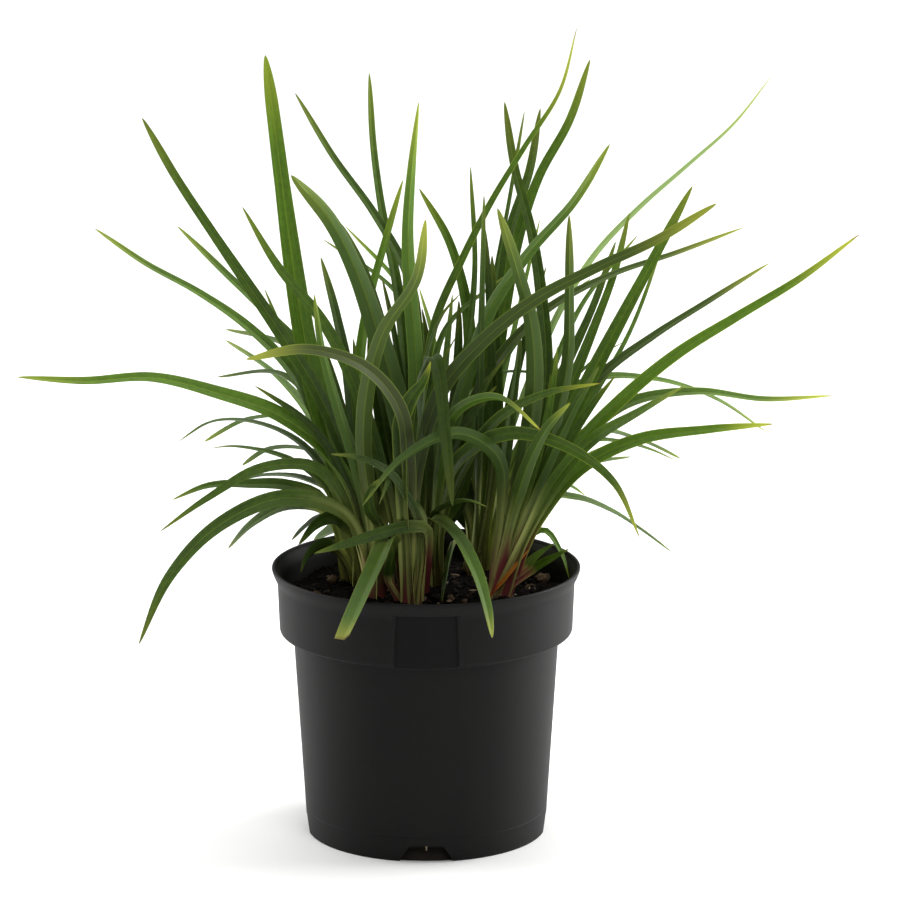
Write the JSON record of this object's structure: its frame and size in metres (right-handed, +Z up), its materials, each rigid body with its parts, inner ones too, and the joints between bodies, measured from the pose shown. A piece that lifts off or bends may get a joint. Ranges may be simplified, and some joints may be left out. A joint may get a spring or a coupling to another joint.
{
  "type": "potted flax lily",
  "caption": "Flax lily in a nursery pot: a fountain of long narrow strap leaves, keeled and tapering, that grow in fans from pale sheaths above dark bark mix.",
  "frame": {"origin": "centre of the pot's base, on the ground", "axes": "+Z up; -Y towards the plant's front, the side with the pot's label panel; +X to the right of it"},
  "size_m": [0.3727, 0.25, 0.3654],
  "materials": {
    "pot_plastic": "injection-moulded black polypropylene, satin",
    "potting_mix": "damp composted bark with chips and white grains, matt",
    "leaf_blade": "smooth waxy living leaf, deep green with a paler keel, semi-gloss",
    "leaf_sheath": "pale yellow-green leaf bases that turn crimson to purple at the mix, satin"
  },
  "bodies": {
    "root": {"pot": "pot_plastic", "potting_mix": "potting_mix", "shoot_1": "leaf_sheath", "shoot_1_leaf_1": "leaf_blade", "shoot_1_leaf_2": "leaf_blade", "shoot_1_leaf_3": "leaf_blade", "shoot_1_leaf_4": "leaf_blade", "shoot_1_leaf_5": "leaf_blade", "shoot_1_leaf_6": "leaf_blade", "shoot_1_leaf_7": "leaf_blade", "shoot_1_leaf_8": "leaf_blade", "shoot_2": "leaf_sheath", "shoot_2_leaf_1": "leaf_blade", "shoot_2_leaf_2": "leaf_blade", "shoot_2_leaf_3": "leaf_blade", "shoot_2_leaf_4": "leaf_blade", "shoot_2_leaf_5": "leaf_blade", "shoot_2_leaf_6": "leaf_blade", "shoot_3": "leaf_sheath", "shoot_3_leaf_1": "leaf_blade", "shoot_3_leaf_10": "leaf_blade", "shoot_3_leaf_2": "leaf_blade", "shoot_3_leaf_3": "leaf_blade", "shoot_3_leaf_4": "leaf_blade", "shoot_3_leaf_5": "leaf_blade", "shoot_3_leaf_6": "leaf_blade", "shoot_3_leaf_7": "leaf_blade", "shoot_3_leaf_8": "leaf_blade", "shoot_3_leaf_9": "leaf_blade", "shoot_4": "leaf_sheath", "shoot_4_leaf_1": "leaf_blade", "shoot_4_leaf_10": "leaf_blade", "shoot_4_leaf_11": "leaf_blade", "shoot_4_leaf_12": "leaf_blade", "shoot_4_leaf_13": "leaf_blade", "shoot_4_leaf_2": "leaf_blade", "shoot_4_leaf_3": "leaf_blade", "shoot_4_leaf_4": "leaf_blade", "shoot_4_leaf_5": "leaf_blade", "shoot_4_leaf_6": "leaf_blade", "shoot_4_leaf_7": "leaf_blade", "shoot_4_leaf_8": "leaf_blade", "shoot_4_leaf_9": "leaf_blade", "shoot_5": "leaf_sheath", "shoot_5_leaf_1": "leaf_blade", "shoot_5_leaf_2": "leaf_blade", "shoot_5_leaf_3": "leaf_blade", "shoot_5_leaf_4": "leaf_blade", "shoot_5_leaf_5": "leaf_blade", "shoot_5_leaf_6": "leaf_blade", "shoot_5_leaf_7": "leaf_blade", "shoot_5_leaf_8": "leaf_blade", "shoot_6": "leaf_sheath", "shoot_6_leaf_1": "leaf_blade", "shoot_6_leaf_2": "leaf_blade", "shoot_6_leaf_3": "leaf_blade", "shoot_6_leaf_4": "leaf_blade", "shoot_6_leaf_5": "leaf_blade", "shoot_6_leaf_6": "leaf_blade"}
  },
  "joints": []
}
